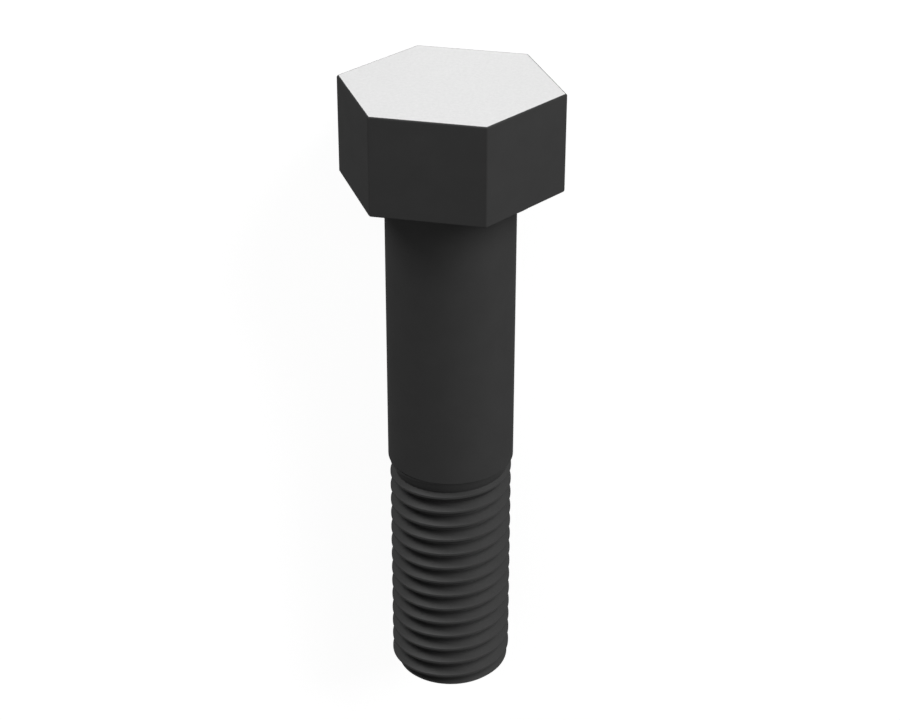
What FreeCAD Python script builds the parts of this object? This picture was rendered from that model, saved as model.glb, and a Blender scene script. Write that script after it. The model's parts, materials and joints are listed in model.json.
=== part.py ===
import FreeCAD, Part
import math
import os

# Cap screw with a plain hexagon head, a plain body and a slightly narrower threaded end.
# It is one piece, and it lies at rest on the lower edge of its head and on its tip.
# Millimetres. The origin is where the screw's axis meets the bearing face under the head.
# +X runs along the screw towards the head, and +Z is up.

# Hexagon head, measured from the bearing face
ACROSS_FLATS = 28.575
HEAD_HEIGHT = 15.1
EDGE_BREAK = 0.2

# Raised round seat under the hexagon, set in from its flats
WASHER_FACE_THICKNESS = 0.4
WASHER_FACE_INSET = 0.7

# Plain body, from the bearing face to the shoulder
BODY_DIAMETER = 19.05
BODY_LENGTH = 44.45
NECK_BEVEL = 1.0

# Threaded end, from the shoulder to the tip
SHOULDER_STEP = 0.275
THREAD_LENGTH = 38.1
END_CHAMFER = 1.0

# Right-hand coarse thread, ten turns to the inch, which fades out over the run-out below the shoulder
PITCH = 2.54
RUN_OUT_LENGTH = 5.0

# How far the groove's cutter stands out of what it cuts
CUTTER_CLEARANCE = 0.1

# Sizes that follow from the ones above
flat_radius = ACROSS_FLATS / 2
corner_radius = flat_radius / math.cos(math.radians(30))
washer_face_radius = flat_radius - WASHER_FACE_INSET
body_radius = BODY_DIAMETER / 2
crest_radius = body_radius - SHOULDER_STEP
shoulder_z = -BODY_LENGTH
tip_z = shoulder_z - THREAD_LENGTH

# Thread form: flat crests, and straight flanks that meet at the depth of a Unified thread,
# which is 17/24 of the sharp thread's height
crest_width = PITCH / 8
sharp_height = PITCH * math.sqrt(3) / 2
thread_depth = sharp_height * 17 / 24

AXIS = FreeCAD.Vector(0, 0, 1)
CENTRE = FreeCAD.Vector(0, 0, 0)
SIDES = 6


def point(radius, z):
    """A point of a turned outline, at this radius and height along the axis."""
    return FreeCAD.Vector(radius, 0, z)


def turned(outline):
    """The solid that an outline of straight lines sweeps round the axis."""
    return Part.Face(Part.makePolygon(outline + outline[:1])).revolve(CENTRE, AXIS, 360)


def hexagon():
    """The head's six-sided block, with every sharp edge broken."""
    corners = []
    for side in range(SIDES + 1):
        angle = math.radians(360 / SIDES * (side + 0.5))
        x = corner_radius * math.cos(angle)
        y = corner_radius * math.sin(angle)
        corners.append(FreeCAD.Vector(x, y, WASHER_FACE_THICKNESS))
    outline = Part.Face(Part.makePolygon(corners))
    block = outline.extrude(AXIS * (HEAD_HEIGHT - WASHER_FACE_THICKNESS))
    return block.makeChamfer(EDGE_BREAK, block.Edges)


def shank():
    """The washer face, bevelled neck, body, shoulder and the blank for the thread."""
    return turned([
        point(0, WASHER_FACE_THICKNESS),
        point(washer_face_radius, WASHER_FACE_THICKNESS),
        point(washer_face_radius, 0),
        point(body_radius + NECK_BEVEL, 0),
        point(body_radius, -NECK_BEVEL),
        point(body_radius, shoulder_z),
        point(crest_radius, shoulder_z),
        point(crest_radius, tip_z + END_CHAMFER),
        point(crest_radius - END_CHAMFER, tip_z),
        point(0, tip_z),
    ])


def helix(radius, z):
    """One right-hand turn round the axis, rising by the pitch."""
    turn = Part.makeHelix(PITCH, PITCH, radius)
    turn.translate(AXIS * z)
    return turn.Edges[0]


def thread_groove():
    """The vee between the thread's turns, past both ends of the threaded part.

    One turn's faces are made between helices and repeated up the screw. A crest meets the end chamfer on
    the side that the screw rests on.
    """
    start_z = tip_z + END_CHAMFER - PITCH * 1.5
    turns = math.ceil(THREAD_LENGTH / PITCH) + 2
    depth = thread_depth + CUTTER_CLEARANCE
    half_width = (PITCH - crest_width) / 2 * depth / thread_depth
    root_radius = crest_radius - thread_depth
    vee = [(root_radius, 0), (root_radius + depth, half_width), (root_radius + depth, -half_width)]

    helices = [helix(radius, start_z + rise) for radius, rise in vee]
    one_turn = [Part.makeRuledSurface(a, b) for a, b in zip(helices, helices[1:] + helices[:1])]
    faces = [face.translated(AXIS * PITCH * turn) for turn in range(turns) for face in one_turn]
    for end_z in (start_z, start_z + PITCH * turns):
        corners = [point(radius, end_z + rise) for radius, rise in vee]
        faces.append(Part.Face(Part.makePolygon(corners + corners[:1])))
    skin = Part.Shell(faces)
    skin.sewShape()
    return Part.Solid(skin)


def above_thread():
    """What the groove leaves whole: a cone on which the thread runs out, and all above the shoulder."""
    beyond = crest_radius + 2 * CUTTER_CLEARANCE
    top_z = shoulder_z + 3 * PITCH
    return turned([
        point(0, shoulder_z - 2 * RUN_OUT_LENGTH),
        point(crest_radius - 2 * thread_depth, shoulder_z - 2 * RUN_OUT_LENGTH),
        point(crest_radius, shoulder_z),
        point(beyond, shoulder_z),
        point(beyond, top_z),
        point(0, top_z),
    ])


def resting_tilt():
    """The angle, in degrees, by which the head end is raised when the screw lies on a level surface.

    The surface touches the broken lower edge of one flat and the end of the thread.
    """
    along = WASHER_FACE_THICKNESS + EDGE_BREAK - (tip_z + END_CHAMFER)
    return math.degrees(math.atan2(flat_radius - crest_radius, along))


def cap_screw():
    """The whole screw, laid down with one flat of the head facing the surface."""
    blank = hexagon().fuse(shank()).removeSplitter()
    screw = blank.cut(thread_groove().cut(above_thread())).Solids[0]
    screw.rotate(CENTRE, FreeCAD.Vector(0, 1, 0), 90 - resting_tilt())
    return screw


os.makedirs("parts", exist_ok=True)
cap_screw().exportStep("parts/cap_screw.step")
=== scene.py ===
import json
import math

import bpy
from bpy.props import FloatProperty, FloatVectorProperty, IntProperty, PointerProperty
from mathutils import Matrix, Vector


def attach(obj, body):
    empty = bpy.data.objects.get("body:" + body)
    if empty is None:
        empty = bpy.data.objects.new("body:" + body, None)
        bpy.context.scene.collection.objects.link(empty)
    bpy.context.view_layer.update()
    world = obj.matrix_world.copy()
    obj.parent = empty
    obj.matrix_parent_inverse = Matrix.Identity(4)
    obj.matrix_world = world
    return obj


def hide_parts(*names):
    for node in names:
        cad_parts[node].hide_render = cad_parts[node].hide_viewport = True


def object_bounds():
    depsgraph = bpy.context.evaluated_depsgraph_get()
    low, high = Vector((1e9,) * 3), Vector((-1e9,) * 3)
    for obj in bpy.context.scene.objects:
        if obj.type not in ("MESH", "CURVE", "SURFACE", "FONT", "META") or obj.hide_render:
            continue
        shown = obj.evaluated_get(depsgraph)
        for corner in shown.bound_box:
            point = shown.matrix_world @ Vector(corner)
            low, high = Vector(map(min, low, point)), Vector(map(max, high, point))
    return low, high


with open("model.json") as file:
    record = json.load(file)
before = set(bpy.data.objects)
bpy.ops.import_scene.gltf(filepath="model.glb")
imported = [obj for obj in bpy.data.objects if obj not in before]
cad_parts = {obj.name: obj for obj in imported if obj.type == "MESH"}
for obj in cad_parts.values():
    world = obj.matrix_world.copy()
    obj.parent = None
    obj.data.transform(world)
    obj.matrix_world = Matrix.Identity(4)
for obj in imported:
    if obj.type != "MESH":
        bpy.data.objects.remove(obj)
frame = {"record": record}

bl_info = {
    "name": "Cap Screw",
    "version": (1, 0, 0),
    "blender": (4, 5, 0),
    "location": "3D View > Sidebar > Cap Screw",
    "description": "Makes a hexagon-head cap screw with a cut thread, lying on a plain pale floor",
    "category": "Mesh",
}

# What the frame gives. A mount's place is in the middle of what the mount marks.
CAD_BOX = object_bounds()
MOUNTS = {mount["name"]: mount for mount in frame["record"]["mounts"]}
BEARING = Vector(MOUNTS["bearing_face"]["pos_m"])
TOWARDS_HEAD = -Vector(MOUNTS["bearing_face"]["axis"])


def from_bearing(name):
    """How far a mount's place is from the bearing face, in metres."""
    return (Vector(MOUNTS[name]["pos_m"]) - BEARING).length


# The screw is modelled standing up at a thousand times its size, so that a millimetre is one unit.
MM = 0.001

# Sizes in metres that the mounts don't give, and from which others are worked out
WASHER_FACE_THICKNESS = 0.0004
SHOULDER_STEP = 0.000275
END_CHAMFER = 0.001

# Distances in metres from the bearing face. The thread ends where the end chamfer begins.
BODY = MOUNTS["body"]["dims"]
BODY_START = from_bearing("body") - BODY["length_mm"] * MM / 2
BODY_END = from_bearing("body") + BODY["length_mm"] * MM / 2
THREAD_END = 2 * from_bearing("thread") - BODY_END
HEAD_TOP = 2 * from_bearing("hexagon") - WASHER_FACE_THICKNESS

# The head's sides, and the angle from the middle of a side to its corner
HEX_SIDES = 6
CORNER_ANGLE = math.radians(180 / HEX_SIDES)

# Faces that meet at less than this angle are shaded as one curve
SMOOTH_UP_TO = math.radians(40)

# Solids reach this many millimetres into each other where they are joined
HIDDEN = 1.0
# Points nearer together than this are one point
SPECK = 0.0005
# Heights that differ by less than this are level, and a face this near to the axis is centred on it
LEVEL = 0.001

# Noise in the finishes: cells to the millimetre along the standing screw's X, Y and Z, and finer layers in it
MOTTLE = {"scale": (0.25, 0.25, 0.25), "detail": 4}
OXIDE_GRAIN = {"scale": (6, 6, 6), "detail": 2}
TURNING_MARKS = {"scale": (0.05, 0.05, 6), "detail": 3}
FORGING_MARKS = {"scale": (1.5, 1.5, 0.08), "detail": 3}
TOP_GRAIN = {"scale": (5, 5, 5), "detail": 3}
SPECKLE = {"scale": (2, 2, 2), "detail": 4, "roughness": 0.8}

# Nearly all the values of such noise lie between these two
NOISE_LOW = 0.3
NOISE_HIGH = 0.7

# Heights in metres of the relief that the noise gives
OXIDE_GRAIN_HEIGHT = 0.000004
TURNING_HEIGHT = 0.000006
FORGING_HEIGHT = 0.000004
TOP_GRAIN_HEIGHT = 0.000002

# Shares of the colour by which it varies, and how far the roughness varies up and down
MOTTLE_DEPTH = 0.08
SPECKLE_DEPTH = 0.12
OXIDE_GLOSS_DEPTH = 0.05
TOP_GLOSS_DEPTH = 0.04


# Settings


class ScrewSizes(bpy.types.PropertyGroup):
    """The screw's sizes."""

    across_flats: FloatProperty(
        name="Across Flats", description="Distance between two opposite sides of the head",
        default=0.028575, unit="LENGTH")
    head_height: FloatProperty(
        name="Head Height", description="From the bearing face to the top of the head",
        default=HEAD_TOP, unit="LENGTH")
    edge_break: FloatProperty(
        name="Edge Break", description="Width of the small bevel along each edge of the head",
        default=0.0002, unit="LENGTH")
    # Painted shade: the rim keeps the top's edge black, standing in for shade along it
    painted_shade_rim: FloatProperty(
        name="Top Rim", description="Width of the blackened rim that is left round the bright top",
        default=0.00007, unit="LENGTH", precision=6)
    washer_face_thickness: FloatProperty(
        name="Washer Face Thickness", description="Height of the round seat under the head",
        default=WASHER_FACE_THICKNESS, unit="LENGTH")
    washer_face_inset: FloatProperty(
        name="Washer Face Inset", description="From the sides of the head in to the round seat",
        default=0.0007, unit="LENGTH")
    neck_fillet: FloatProperty(
        name="Neck Fillet", description="Radius where the body meets the bearing face",
        default=BODY_START, unit="LENGTH")
    body_radius: FloatProperty(
        name="Body Radius", description="Radius of the plain body",
        default=BODY["r_mm"] * MM, unit="LENGTH")
    body_length: FloatProperty(
        name="Body Length", description="From the bearing face to the shoulder",
        default=BODY_END, unit="LENGTH")
    crest_radius: FloatProperty(
        name="Crest Radius", description="Radius over the thread's crests",
        default=BODY["r_mm"] * MM - SHOULDER_STEP, unit="LENGTH")
    end_chamfer: FloatProperty(
        name="End Chamfer", description="Width of the bevel round the tip",
        default=END_CHAMFER, unit="LENGTH")
    length: FloatProperty(
        name="Length", description="From the bearing face to the tip",
        default=THREAD_END + END_CHAMFER, unit="LENGTH")
    pitch: FloatProperty(
        name="Pitch", description="From one crest of the thread to the next",
        default=0.00254, unit="LENGTH", precision=6)
    run_out: FloatProperty(
        name="Run-out", description="Length over which the thread fades out below the shoulder",
        default=0.005, unit="LENGTH")
    segments: IntProperty(
        name="Segments", description="Flat strips round the screw", default=96)


class ScrewFinish(bpy.types.PropertyGroup):
    """The colours and gloss of the screw's surfaces."""

    oxide: FloatVectorProperty(
        name="Black Oxide", description="Colour of the blackened steel",
        default=(0.05, 0.05, 0.05), subtype="COLOR", size=3)
    # Painted light: the thread's oxide is painted paler than the body's, for more light on the lower end and
    # to make up for the shade in its grooves
    thread_oxide_painted_paler: FloatVectorProperty(
        name="Thread Oxide", description="Colour of the blackened thread, a little paler than the rest",
        default=(0.058, 0.058, 0.058), subtype="COLOR", size=3)
    oxide_roughness: FloatProperty(
        name="Oxide Roughness", description="Middle roughness of the blackened steel",
        default=0.5, subtype="FACTOR", min=0, max=1)
    oxide_sheen: FloatProperty(
        name="Oxide Sheen", description="Share of the blackened steel that reflects as metal",
        default=0.18, subtype="FACTOR", min=0, max=1)
    oxide_edge: FloatProperty(
        name="Oxide Edge", description="Brightness of the blackened steel's reflection at a glancing view",
        default=0.4, subtype="FACTOR", min=0, max=1)
    # Painted light: the top of the head is painted pale for the light that falls on it. Its roughness and
    # sheen are its own.
    painted_light_top: FloatVectorProperty(
        name="Ground Steel", description="Colour of the bright top of the head",
        default=(0.66, 0.66, 0.66), subtype="COLOR", size=3)
    top_roughness: FloatProperty(
        name="Ground Roughness", description="Middle roughness of the bright top",
        default=0.45, subtype="FACTOR", min=0, max=1)
    top_sheen: FloatProperty(
        name="Ground Sheen", description="Share of the bright top that reflects as metal",
        default=0.3, subtype="FACTOR", min=0, max=1)


class StageLook(bpy.types.PropertyGroup):
    """The floor, lamps and camera."""

    floor: FloatVectorProperty(
        name="Floor", description="Colour of the floor", default=(0.4, 0.4, 0.4), subtype="COLOR", size=3)
    near_white: FloatProperty(
        name="Near White", description="White that the camera sees added to the floor near the screw",
        default=0.87)
    far_white: FloatProperty(
        name="Far White", description="White that the camera sees added to the floor far from the screw",
        default=0.96)
    near_reach: FloatProperty(
        name="Near Reach", description="How far from the screw the near white reaches",
        default=0.25, unit="LENGTH")
    far_start: FloatProperty(
        name="Far Start", description="How far from the screw the far white begins",
        default=1.0, unit="LENGTH")
    room_light: FloatProperty(
        name="Room Light", description="Strength of the even light from all round", default=0.13)
    key_power: FloatProperty(
        name="Key Power", description="Power of the large lamp on one side", default=7.7, unit="POWER")
    key_place: FloatVectorProperty(
        name="Key Place", description="Where the large lamp stands",
        default=(0.56, -0.65, 0.26), subtype="TRANSLATION", size=3)
    key_size: FloatProperty(
        name="Key Size", description="Width of the large lamp", default=0.6, unit="LENGTH")
    fill_power: FloatProperty(
        name="Fill Power", description="Power of the smaller lamp on the other side",
        default=4.2, unit="POWER")
    fill_place: FloatVectorProperty(
        name="Fill Place", description="Where the smaller lamp stands",
        default=(0.65, 0.46, 0.215), subtype="TRANSLATION", size=3)
    fill_size: FloatProperty(
        name="Fill Size", description="Width of the smaller lamp", default=0.37, unit="LENGTH")
    camera_elevation: FloatProperty(
        name="Camera Elevation", description="How far the camera looks down on the top of the head",
        default=math.radians(28.811), subtype="ANGLE")
    camera_turn: FloatProperty(
        name="Camera Turn", description="How far the camera is turned round the screw from its upper side",
        default=math.radians(12.825), subtype="ANGLE")
    camera_distance: FloatProperty(
        name="Camera Distance", description="From the camera to the point that it looks at",
        default=0.31048, unit="LENGTH")
    camera_aim: FloatProperty(
        name="Camera Aim", description="How far below the bearing face the camera looks at the axis",
        default=0.02862, unit="LENGTH")
    camera_side: FloatProperty(
        name="Camera Side", description="How far beside the axis the camera looks, to the picture's left",
        default=0.0001, unit="LENGTH")
    focal_share: FloatProperty(
        name="Focal Length", description="Focal length as a share of the picture's width",
        default=2.31460)


# Modelling


def only(piece):
    """Selects this piece and nothing else."""
    bpy.ops.object.select_all(action="DESELECT")
    piece.select_set(True)
    bpy.context.view_layer.objects.active = piece


def cut_or_join(piece, other, operation):
    """Joins another solid to the piece, or keeps only what both share, and removes the other solid."""
    only(piece)
    boolean = piece.modifiers.new("join", "BOOLEAN")
    boolean.operation = operation
    boolean.solver = "EXACT"
    boolean.object = other
    bpy.ops.object.modifier_apply(modifier=boolean.name)
    bpy.data.objects.remove(other)
    bpy.ops.object.mode_set(mode="EDIT")
    bpy.ops.mesh.select_all(action="SELECT")
    bpy.ops.mesh.remove_doubles(threshold=SPECK)
    bpy.ops.mesh.select_all(action="SELECT")
    bpy.ops.mesh.dissolve_degenerate(threshold=SPECK)
    bpy.ops.object.mode_set(mode="OBJECT")


def turned(name, stations, segments):
    """A closed solid turned about Z. Each station is a radius and a height, from one end to the other.

    A disc at the first station is drawn out to each next one, and brought to its radius there.
    """
    bpy.ops.object.select_all(action="DESELECT")
    radius, height = stations[0]
    bpy.ops.mesh.primitive_circle_add(
        vertices=segments, radius=radius, fill_type="NGON", location=(0, 0, height), enter_editmode=True)
    piece = bpy.context.object
    piece.name = name
    for next_radius, next_height in stations[1:]:
        bpy.ops.mesh.extrude_region_move(TRANSFORM_OT_translate={"value": (0, 0, next_height - height)})
        share = next_radius / radius
        bpy.ops.transform.resize(value=(share, share, 1), center_override=(0, 0, next_height))
        radius, height = next_radius, next_height
    bpy.ops.mesh.select_all(action="SELECT")
    bpy.ops.mesh.normals_make_consistent(inside=False)
    bpy.ops.object.mode_set(mode="OBJECT")
    bpy.ops.object.transform_apply(location=True, rotation=True, scale=True)
    return piece


def thread_turn(pitch, crest_radius):
    """The thread's outline over one pitch, as radii and heights: a rounded root and a flat crest.

    It is the Unified form. Its flanks stand 60 degrees apart, and its sizes are shares of the pitch and of
    the depth that it would have with sharp crests and roots. The root is rounded from flank to flank.
    """
    sharp_depth = pitch * math.sqrt(3) / 2
    root_rounding = sharp_depth / 6
    crest_flat = pitch / 8
    sharp_root = crest_radius - sharp_depth * 7 / 8
    rounding_centre = sharp_root + 2 * root_rounding
    outline = []
    for angle in (-60, -30, 0, 30, 60):
        turn = math.radians(angle)
        outline.append((rounding_centre - root_rounding * math.cos(turn), root_rounding * math.sin(turn)))
    outline.append((crest_radius, (pitch - crest_flat) / 2))
    outline.append((crest_radius, (pitch + crest_flat) / 2))
    outline.append((outline[0][0], outline[0][1] + pitch))
    return outline


def root_radius(sizes):
    """Radius at the bottom of the thread."""
    return min(radius for radius, _ in thread_turn(sizes.pitch, sizes.crest_radius))


def drawn(name, outline, start):
    """A line along an outline of radii and heights above the start, drawn out from a single point."""
    bpy.ops.object.select_all(action="DESELECT")
    radius, height = outline[0]
    bpy.ops.mesh.primitive_plane_add(size=1, location=(0, 0, 0), enter_editmode=True)
    line = bpy.context.object
    line.name = name
    bpy.ops.mesh.merge(type="CENTER")
    bpy.ops.transform.translate(value=(radius, 0, start + height))
    for next_radius, next_height in outline[1:]:
        step = (next_radius - radius, 0, next_height - height)
        bpy.ops.mesh.extrude_region_move(TRANSFORM_OT_translate={"value": step})
        radius, height = next_radius, next_height
    bpy.ops.object.mode_set(mode="OBJECT")
    return line


def threaded_bar(sizes):
    """A bar with the thread all along it: one turn's outline, repeated upwards and wound once round.

    A crest meets the end chamfer on the side that the screw rests on. The start is the middle of a root, half
    a turn from a crest.
    """
    pitch = sizes.pitch / MM
    bottom = -sizes.length / MM - HIDDEN
    top = -sizes.body_length / MM + HIDDEN
    turns_below_thread = 3.5
    spare_turns = 2
    start = (sizes.end_chamfer - sizes.length) / MM - turns_below_thread * pitch
    turns = math.ceil((top - start) / pitch) + spare_turns
    same_point = pitch / 1000
    on_the_cut = 1e-5
    bar = drawn("threaded_bar", thread_turn(pitch, sizes.crest_radius / MM), start)

    repeat = bar.modifiers.new("repeat", "ARRAY")
    repeat.count = turns
    repeat.use_relative_offset = False
    repeat.use_constant_offset = True
    repeat.constant_offset_displace = (0, 0, pitch)
    repeat.use_merge_vertices = True
    repeat.merge_threshold = same_point
    bpy.ops.object.modifier_apply(modifier=repeat.name)

    wind = bar.modifiers.new("wind", "SCREW")
    wind.axis = "Z"
    wind.angle = 2 * math.pi
    wind.screw_offset = pitch
    wind.steps = sizes.segments
    wind.render_steps = sizes.segments
    bpy.ops.object.modifier_apply(modifier=wind.name)

    bpy.ops.object.mode_set(mode="EDIT")
    bpy.ops.mesh.select_all(action="SELECT")
    bpy.ops.mesh.remove_doubles(threshold=same_point)
    for height, outwards in ((bottom, (0, 0, -1)), (top, (0, 0, 1))):
        bpy.ops.mesh.select_all(action="SELECT")
        bpy.ops.mesh.bisect(
            plane_co=(0, 0, height), plane_no=outwards, use_fill=True, clear_outer=True, threshold=on_the_cut)
    bpy.ops.mesh.select_all(action="SELECT")
    bpy.ops.mesh.normals_make_consistent(inside=False)
    bpy.ops.object.mode_set(mode="OBJECT")
    return bar


def threaded_end(sizes):
    """The threaded bar, cut to length with a bevel round the tip.

    The envelope that it is cut to stands clear of the crests.
    """
    crest = sizes.crest_radius / MM
    chamfer = sizes.end_chamfer / MM
    tip = -sizes.length / MM
    clear = 0.1
    envelope = turned(
        "envelope",
        [
            (crest - chamfer, tip),
            (crest + clear, tip + chamfer + clear),
            (crest + clear, -sizes.body_length / MM + 2 * HIDDEN),
        ],
        sizes.segments,
    )
    end = threaded_bar(sizes)
    cut_or_join(end, envelope, "INTERSECT")
    return end


def body(sizes):
    """The plain body with the neck fillet and washer face above it, and the thread's run-out cone below.

    The cone starts buried in the thread's core and ends just under its crests, where it fills the groove.
    """
    crest = sizes.crest_radius / MM
    root = root_radius(sizes) / MM
    shoulder = -sizes.body_length / MM
    body_radius = sizes.body_radius / MM
    fillet = sizes.neck_fillet / MM
    washer_face_radius = (sizes.across_flats / 2 - sizes.washer_face_inset) / MM
    run_out = sizes.run_out / MM
    buried = 0.3
    just_under = 0.02
    stations = [
        (root - buried, shoulder - run_out * (1 + buried / (crest - root))),
        (crest - just_under, shoulder),
        (body_radius, shoulder),
    ]
    fillet_steps = 8
    for step in range(fillet_steps + 1):
        turn = math.radians(90) * step / fillet_steps
        stations.append((body_radius + fillet * (1 - math.cos(turn)), -fillet * (1 - math.sin(turn))))
    stations.append((washer_face_radius, 0))
    stations.append((washer_face_radius, sizes.washer_face_thickness / MM + HIDDEN))
    return turned("body", stations, sizes.segments)


def hexagon(sizes):
    """The six-sided head, with a small bevel along each edge and a narrow rim marked off round its top, left
    black as painted shade along the top's edge.
    """
    bottom = sizes.washer_face_thickness / MM
    top = sizes.head_height / MM
    bpy.ops.object.select_all(action="DESELECT")
    bpy.ops.mesh.primitive_cylinder_add(
        vertices=HEX_SIDES, radius=sizes.across_flats / 2 / MM / math.cos(CORNER_ANGLE),
        depth=top - bottom, location=(0, 0, (top + bottom) / 2), enter_editmode=True)
    head = bpy.context.object
    head.name = "hexagon"
    bpy.ops.mesh.select_all(action="SELECT")
    bpy.ops.mesh.bevel(offset_type="OFFSET", offset=sizes.edge_break / MM, segments=1, affect="EDGES")
    bpy.ops.mesh.select_all(action="DESELECT")
    bpy.ops.object.mode_set(mode="OBJECT")
    bpy.ops.object.transform_apply(location=True, rotation=True, scale=True)
    # The top is chosen by its corners, and the rim of painted shade is set in from its edge
    for corner in head.data.vertices:
        corner.select = corner.co.z > top - LEVEL
    bpy.ops.object.mode_set(mode="EDIT")
    bpy.ops.mesh.inset(thickness=sizes.painted_shade_rim / MM, depth=0)
    bpy.ops.object.mode_set(mode="OBJECT")
    return head


def lay_down(piece):
    """Brings the standing screw to its real size and lays it in its place, along the frame's axis."""
    only(piece)
    piece.rotation_euler = (0, math.atan2(TOWARDS_HEAD.x, TOWARDS_HEAD.z), 0)
    piece.scale = (MM, MM, MM)
    piece.location = BEARING
    bpy.ops.object.transform_apply(location=True, rotation=True, scale=True)


# Finishes


def new_material(name, sheen=0.0):
    """A new material and its shader. A share of it, the sheen, reflects as metal, and the rest is matt."""
    material = bpy.data.materials.new(name)
    material.use_nodes = True
    shader = material.node_tree.nodes["Principled BSDF"]
    shader.inputs["Metallic"].default_value = sheen
    shader.inputs["Specular IOR Level"].default_value = 0.0
    return material, shader


def node(material, kind, **values):
    """A new node in the material, with these settings."""
    made = material.node_tree.nodes.new(kind)
    for name, value in values.items():
        setattr(made, name, value)
    return made


def screw_place(material, scale):
    """Places on the screw in its own upright millimetres, stretched by a scale in each direction."""
    links = material.node_tree.links
    place = node(material, "ShaderNodeTexCoord")
    upright = node(material, "ShaderNodeMapping", vector_type="POINT")
    upright.inputs["Rotation"].default_value = (0, -math.atan2(TOWARDS_HEAD.x, TOWARDS_HEAD.z), 0)
    stretched = node(material, "ShaderNodeMapping", vector_type="POINT")
    stretched.inputs["Scale"].default_value = [s / MM for s in scale]
    links.new(place.outputs["Object"], upright.inputs["Vector"])
    links.new(upright.outputs["Vector"], stretched.inputs["Vector"])
    return stretched.outputs["Vector"]


def grain(material, scale, detail, roughness=0.5):
    """Soft noise over the screw, from 0 to 1. Its roughness is the strength of its finer layers."""
    noise = node(material, "ShaderNodeTexNoise")
    noise.inputs["Scale"].default_value = 1.0
    noise.inputs["Detail"].default_value = detail
    noise.inputs["Roughness"].default_value = roughness
    material.node_tree.links.new(screw_place(material, scale), noise.inputs["Vector"])
    return noise.outputs["Fac"]


def spread(material, value, middle, depth, into):
    """Lets a number of the shader vary up and down from its middle with a noise value."""
    span = node(material, "ShaderNodeMapRange")
    span.inputs["From Min"].default_value = NOISE_LOW
    span.inputs["From Max"].default_value = NOISE_HIGH
    span.inputs["To Min"].default_value = middle - depth
    span.inputs["To Max"].default_value = middle + depth
    material.node_tree.links.new(value, span.inputs["Value"])
    material.node_tree.links.new(span.outputs["Result"], into)


def shade(material, value, colour, depth, into):
    """Lets a colour vary by a share of itself with a noise value."""
    blend = node(material, "ShaderNodeMix", data_type="RGBA")
    blend.inputs["A"].default_value = [c * (1 - depth) for c in colour] + [1]
    blend.inputs["B"].default_value = [c * (1 + depth) for c in colour] + [1]
    material.node_tree.links.new(value, blend.inputs["Factor"])
    material.node_tree.links.new(blend.outputs["Result"], into)


def relief(material, value, height, below=None):
    """Fine relief from a noise value, in metres, laid over any relief below it."""
    bump = node(material, "ShaderNodeBump")
    bump.inputs["Strength"].default_value = 1.0
    bump.inputs["Distance"].default_value = height
    material.node_tree.links.new(value, bump.inputs["Height"])
    if below is not None:
        material.node_tree.links.new(below, bump.inputs["Normal"])
    return bump.outputs["Normal"]


def blackened(name, colour, finish, marks, marks_height):
    """Steel with a thin black oxide, matt and finely grained, with the marks of how it was made."""
    material, shader = new_material(name, finish.oxide_sheen)
    edge = finish.oxide_edge
    shader.inputs["Specular Tint"].default_value = (edge, edge, edge, 1)
    mottle = grain(material, **MOTTLE)
    fine = grain(material, **OXIDE_GRAIN)
    shade(material, mottle, colour, MOTTLE_DEPTH, shader.inputs["Base Color"])
    spread(material, fine, finish.oxide_roughness, OXIDE_GLOSS_DEPTH, shader.inputs["Roughness"])
    made_marks = relief(material, grain(material, **marks), marks_height)
    surface = relief(material, fine, OXIDE_GRAIN_HEIGHT, made_marks)
    material.node_tree.links.new(surface, shader.inputs["Normal"])
    return material


def painted_light_top(name, finish):
    """Steel on the head's flat top, painted pale as painted light for the light that falls on it, with a fine
    even grain.
    """
    material, shader = new_material(name, finish.top_sheen)
    fine = grain(material, **TOP_GRAIN)
    speckle = grain(material, **SPECKLE)
    # Painted light: the top's pale colour, varied at random by the speckle
    shade(material, speckle, finish.painted_light_top, SPECKLE_DEPTH, shader.inputs["Base Color"])
    spread(material, fine, finish.top_roughness, TOP_GLOSS_DEPTH, shader.inputs["Roughness"])
    surface = relief(material, fine, TOP_GRAIN_HEIGHT)
    material.node_tree.links.new(surface, shader.inputs["Normal"])
    return material


def paint_faces(piece, sizes, finish):
    """Gives the body, the thread, the head and the top their own materials, by where each face lies.

    The thread is painted paler than the body, and the top painted pale: both painted light. The top is the
    one face
    at the top that is centred on the axis: the rim round it stays black, as painted shade along its edge.
    """
    materials = [
        blackened("blackened_body", finish.oxide, finish, TURNING_MARKS, TURNING_HEIGHT),
        # The thread's oxide is painted paler: painted light
        blackened("blackened_thread_painted_paler", finish.thread_oxide_painted_paler, finish, TURNING_MARKS, TURNING_HEIGHT),
        blackened("blackened_head", finish.oxide, finish, FORGING_MARKS, FORGING_HEIGHT),
        # The top's material is painted pale: painted light
        painted_light_top("pale_top_painted_light", finish),
    ]
    body_slot, thread_slot, head_slot, top_slot = range(len(materials))
    for material in materials:
        piece.data.materials.append(material)
    top = sizes.head_height / MM
    underside = sizes.washer_face_thickness / MM
    shoulder = -sizes.body_length / MM
    for face in piece.data.polygons:
        if face.center.z > top - LEVEL and face.center.xy.length < LEVEL:
            face.material_index = top_slot
        elif face.center.z > underside - LEVEL:
            face.material_index = head_slot
        elif face.center.z > shoulder + LEVEL:
            face.material_index = body_slot
        else:
            face.material_index = thread_slot


# The screw


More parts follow.
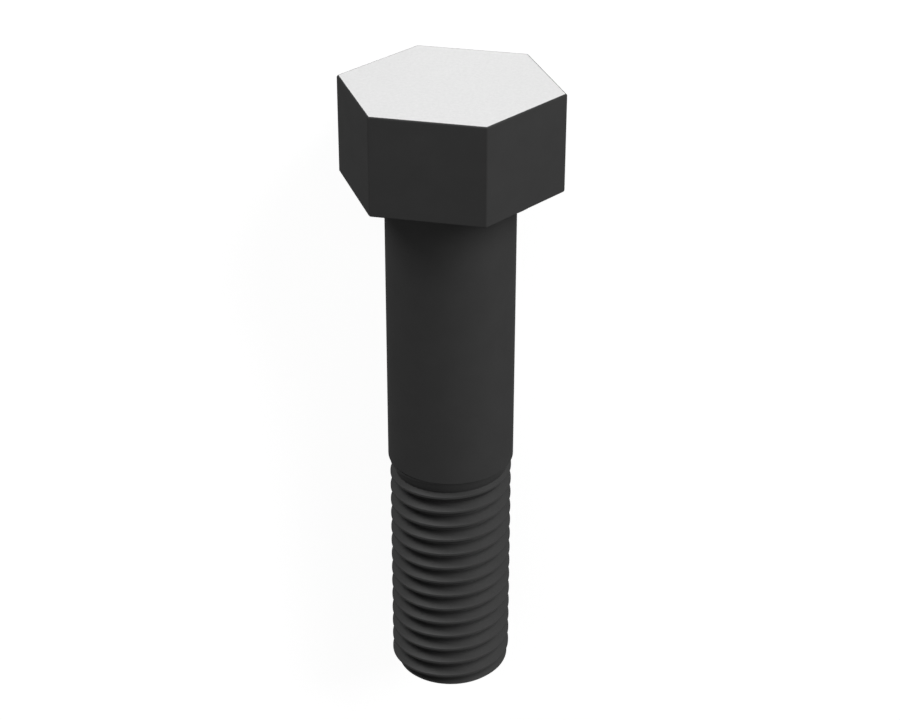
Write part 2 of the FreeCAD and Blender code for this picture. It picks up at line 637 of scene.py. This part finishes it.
class CAPSCREW_OT_screw(bpy.types.Operator):
    """Makes the cap screw: threaded end, body and hexagon head, in one piece"""

    bl_idname = "capscrew.screw"
    bl_label = "Cap Screw"

    def execute(self, context):
        sizes = context.scene.screw_sizes
        # Vertex mode, in which a face is selected by its corners
        context.tool_settings.mesh_select_mode = (True, False, False)
        screw = threaded_end(sizes)
        cut_or_join(screw, body(sizes), "UNION")
        cut_or_join(screw, hexagon(sizes), "UNION")
        screw.name = screw.data.name = "screw"
        paint_faces(screw, sizes, context.scene.screw_finish)
        lay_down(screw)
        bpy.ops.object.shade_smooth_by_angle(angle=SMOOTH_UP_TO)
        # Flat faces stay evenly shaded beside the small bevels
        even = screw.modifiers.new("even", "WEIGHTED_NORMAL")
        even.keep_sharp = True
        bpy.ops.object.modifier_apply(modifier=even.name)
        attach(screw, "root")
        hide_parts("cap_screw")
        return {"FINISHED"}


# Floor, lamps and camera


def white_when_seen(tree, lit, white):
    """Shows the white shader to the camera, directly or in metal and glass, and the lit one elsewhere."""
    path = tree.nodes.new("ShaderNodeLightPath")
    seen = path.outputs["Is Camera Ray"]
    for ray in ("Is Glossy Ray", "Is Transmission Ray"):
        either = tree.nodes.new("ShaderNodeMath")
        either.operation = "MAXIMUM"
        tree.links.new(seen, either.inputs[0])
        tree.links.new(path.outputs[ray], either.inputs[1])
        seen = either.outputs["Value"]
    # The mix's own two shaders share a name, so they are taken by number
    mix = tree.nodes.new("ShaderNodeMixShader")
    tree.links.new(seen, mix.inputs["Fac"])
    tree.links.new(lit, mix.inputs[1])
    tree.links.new(white, mix.inputs[2])
    return mix.outputs["Shader"]


def pale_floor(look):
    """The floor's material: pale paint that looks white to the camera, apart from the screw's shadow.

    Less of the lamps' light falls on the floor far from the screw, so more white is added to it there.
    """
    material, shader = new_material("pale_floor")
    shader.inputs["Base Color"].default_value = [*look.floor, 1]
    shader.inputs["Roughness"].default_value = 1.0
    tree = material.node_tree
    place = node(material, "ShaderNodeTexCoord")
    away = node(material, "ShaderNodeVectorMath", operation="LENGTH")
    whiteness = node(material, "ShaderNodeMapRange")
    whiteness.inputs["From Min"].default_value = look.near_reach
    whiteness.inputs["From Max"].default_value = look.far_start
    whiteness.inputs["To Min"].default_value = look.near_white
    whiteness.inputs["To Max"].default_value = look.far_white
    glow = node(material, "ShaderNodeEmission")
    both = node(material, "ShaderNodeAddShader")
    tree.links.new(place.outputs["Object"], away.inputs["Vector"])
    tree.links.new(away.outputs["Value"], whiteness.inputs["Value"])
    tree.links.new(whiteness.outputs["Result"], glow.inputs["Strength"])
    tree.links.new(shader.outputs["BSDF"], both.inputs[0])
    tree.links.new(glow.outputs["Emission"], both.inputs[1])
    seen = white_when_seen(tree, shader.outputs["BSDF"], both.outputs["Shader"])
    tree.links.new(seen, tree.nodes["Material Output"].inputs["Surface"])
    return material


def room(look):
    """Even grey light from all round, behind a white that only the camera, metal and glass see."""
    world = bpy.data.worlds.new("room")
    bpy.context.scene.world = world
    world.use_nodes = True
    tree = world.node_tree
    even = tree.nodes["Background"]
    even.inputs["Color"].default_value = (1, 1, 1, 1)
    even.inputs["Strength"].default_value = look.room_light
    white = tree.nodes.new("ShaderNodeBackground")
    white.inputs["Color"].default_value = (1, 1, 1, 1)
    white.inputs["Strength"].default_value = 1.0
    seen = white_when_seen(tree, even.outputs["Background"], white.outputs["Background"])
    tree.links.new(seen, tree.nodes["World Output"].inputs["Surface"])


def lamp(name, power, place, size, aim):
    """A square soft lamp at its place, pointed at its aim."""
    bpy.ops.object.select_all(action="DESELECT")
    bpy.ops.object.light_add(type="AREA", location=place)
    made = bpy.context.object
    made.name = name
    made.rotation_euler = (aim - Vector(place)).to_track_quat("-Z", "Y").to_euler()
    made.data.shape = "SQUARE"
    made.data.size = size
    made.data.energy = power


def camera(look):
    """The photograph's view: from above the head's top, with the head at the top of the picture.

    The camera starts over the lying screw's upper side, is turned round the axis towards one side of the
    screw, and then rises towards the head.
    """
    side = Vector((0, -1, 0))
    upper_side = side.cross(TOWARDS_HEAD)
    outwards = upper_side * math.cos(look.camera_turn) + side * math.sin(look.camera_turn)
    back = outwards * math.cos(look.camera_elevation) + TOWARDS_HEAD * math.sin(look.camera_elevation)
    up = TOWARDS_HEAD * math.cos(look.camera_elevation) - outwards * math.sin(look.camera_elevation)
    right = up.cross(back)
    aim = BEARING - TOWARDS_HEAD * look.camera_aim - right * look.camera_side
    bpy.ops.object.select_all(action="DESELECT")
    bpy.ops.object.camera_add(location=aim + back * look.camera_distance)
    made = bpy.context.object
    made.rotation_euler = Matrix((right, up, back)).transposed().to_euler()
    made.data.lens = look.focal_share * made.data.sensor_width
    nearest_seen = 0.01
    farthest_seen = 50
    made.data.clip_start = nearest_seen
    made.data.clip_end = farthest_seen
    bpy.context.scene.camera = made


class CAPSCREW_OT_stage(bpy.types.Operator):
    """Makes the pale floor, the soft lamps and the camera"""

    bl_idname = "capscrew.stage"
    bl_label = "Stage"

    def execute(self, context):
        look = context.scene.stage_look
        low, high = CAD_BOX
        middle = (low + high) / 2
        floor_width = 40
        bpy.ops.object.select_all(action="DESELECT")
        bpy.ops.mesh.primitive_plane_add(size=floor_width, location=(middle.x, middle.y, low.z))
        floor = bpy.context.object
        floor.name = "floor"
        floor.data.materials.append(pale_floor(look))
        room(look)
        lamp("key", look.key_power, look.key_place, look.key_size, middle)
        lamp("fill", look.fill_power, look.fill_place, look.fill_size, middle)
        camera(look)
        context.scene.view_settings.view_transform = "Standard"
        return {"FINISHED"}


# Panel and registration


class CAPSCREW_PT_panel(bpy.types.Panel):
    """Lists the steps that make the screw and its stage"""

    bl_idname = "CAPSCREW_PT_panel"
    bl_label = "Cap Screw"
    bl_space_type = "VIEW_3D"
    bl_region_type = "UI"
    bl_category = "Cap Screw"

    def draw(self, context):
        for step in (CAPSCREW_OT_screw, CAPSCREW_OT_stage):
            self.layout.operator(step.bl_idname)


CLASSES = (ScrewSizes, ScrewFinish, StageLook, CAPSCREW_OT_screw, CAPSCREW_OT_stage, CAPSCREW_PT_panel)


def register():
    """Adds the settings, the steps and the panel to Blender."""
    for item in CLASSES:
        bpy.utils.register_class(item)
    bpy.types.Scene.screw_sizes = PointerProperty(type=ScrewSizes)
    bpy.types.Scene.screw_finish = PointerProperty(type=ScrewFinish)
    bpy.types.Scene.stage_look = PointerProperty(type=StageLook)


def unregister():
    """Takes them out again, in the opposite order."""
    del bpy.types.Scene.stage_look
    del bpy.types.Scene.screw_finish
    del bpy.types.Scene.screw_sizes
    for item in reversed(CLASSES):
        bpy.utils.unregister_class(item)


def main():
    register()
    bpy.ops.capscrew.screw()
    bpy.ops.capscrew.stage()


if __name__ == "__main__":
    main()
